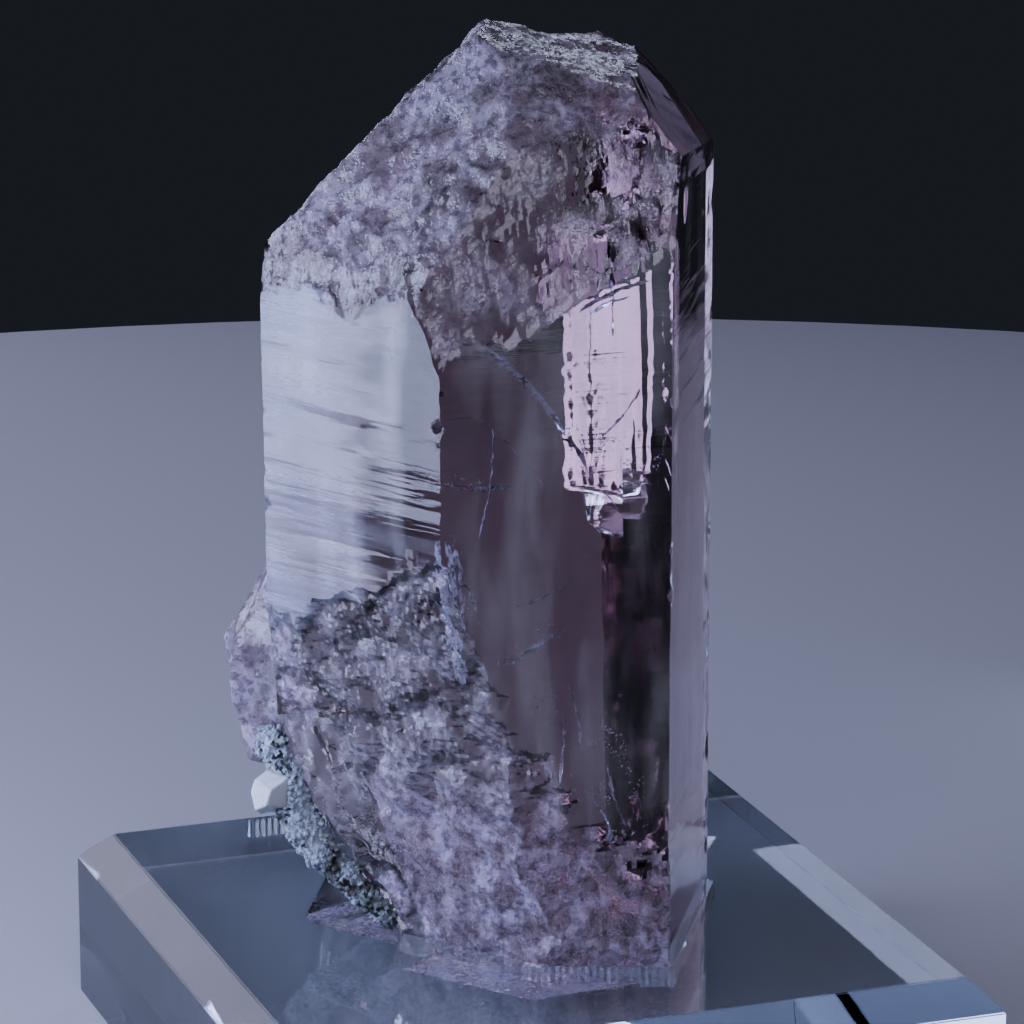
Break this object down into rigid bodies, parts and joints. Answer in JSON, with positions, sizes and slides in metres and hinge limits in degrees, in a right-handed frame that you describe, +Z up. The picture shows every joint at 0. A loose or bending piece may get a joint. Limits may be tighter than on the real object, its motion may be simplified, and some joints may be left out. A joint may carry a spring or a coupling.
{
  "type": "smoky quartz crystal",
  "caption": "Upright smoky quartz crystal with a rough sloping end, a side crystal and a crust of matrix, standing in a clear bevelled acrylic base.",
  "frame": {"origin": "middle of the base's underside", "axes": "+Z up along the crystal, -Y towards the base's front side, which the crystal's widest clear face looks towards, +X to the right seen from the front"},
  "size_m": [0.076, 0.078, 0.1127],
  "materials": {
    "smoky_quartz": "clear to cloudy, polished by growth on the flat faces, rough at the end and the break",
    "matrix_rock": "granular, matt",
    "white_feldspar": "satin",
    "clear_acrylic": "clear, polished"
  },
  "bodies": {
    "root": {"smoky_quartz_crystal": "smoky_quartz", "matrix_crust": "matrix_rock", "feldspar_crystal": "white_feldspar", "acrylic_base": "clear_acrylic"}
  },
  "joints": []
}
